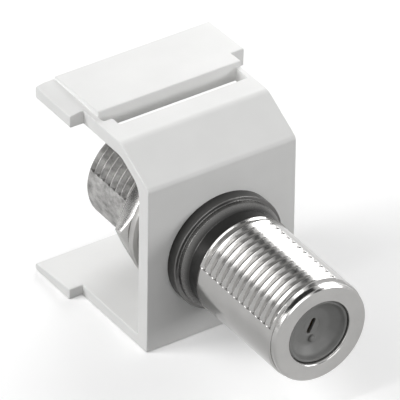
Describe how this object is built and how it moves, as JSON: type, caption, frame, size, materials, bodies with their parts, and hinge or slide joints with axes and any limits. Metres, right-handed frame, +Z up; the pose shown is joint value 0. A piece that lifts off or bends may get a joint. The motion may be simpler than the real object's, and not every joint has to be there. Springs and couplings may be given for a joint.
{
  "type": "keystone coaxial coupler insert",
  "caption": "Snap-in wall plate insert: a moulded bracket with two sprung arms holding a double-ended threaded coaxial coupler, clamped by a washer and a hex nut.",
  "frame": {"origin": "where the connector's axis crosses the front face of the insert", "axes": "+Y from the front face towards the rear port, +Z up, +X to the right as seen from the front port"},
  "size_m": [0.0172, 0.0295, 0.019],
  "materials": {
    "white_plastic": "smooth moulded, satin gloss",
    "nickel_plate": "bright nickel plating",
    "washer_plate": "plated, satin",
    "nut_plate": "bright nickel plating",
    "insulator_plastic": "smooth moulded",
    "contact_metal": "tinned spring bronze, satin"
  },
  "bodies": {
    "root": {"housing": "white_plastic", "connector_body": "nickel_plate", "washer": "washer_plate", "hex_nut": "nut_plate", "front_insulator": "insulator_plastic", "rear_insulator": "insulator_plastic", "centre_contact": "contact_metal"}
  },
  "joints": []
}
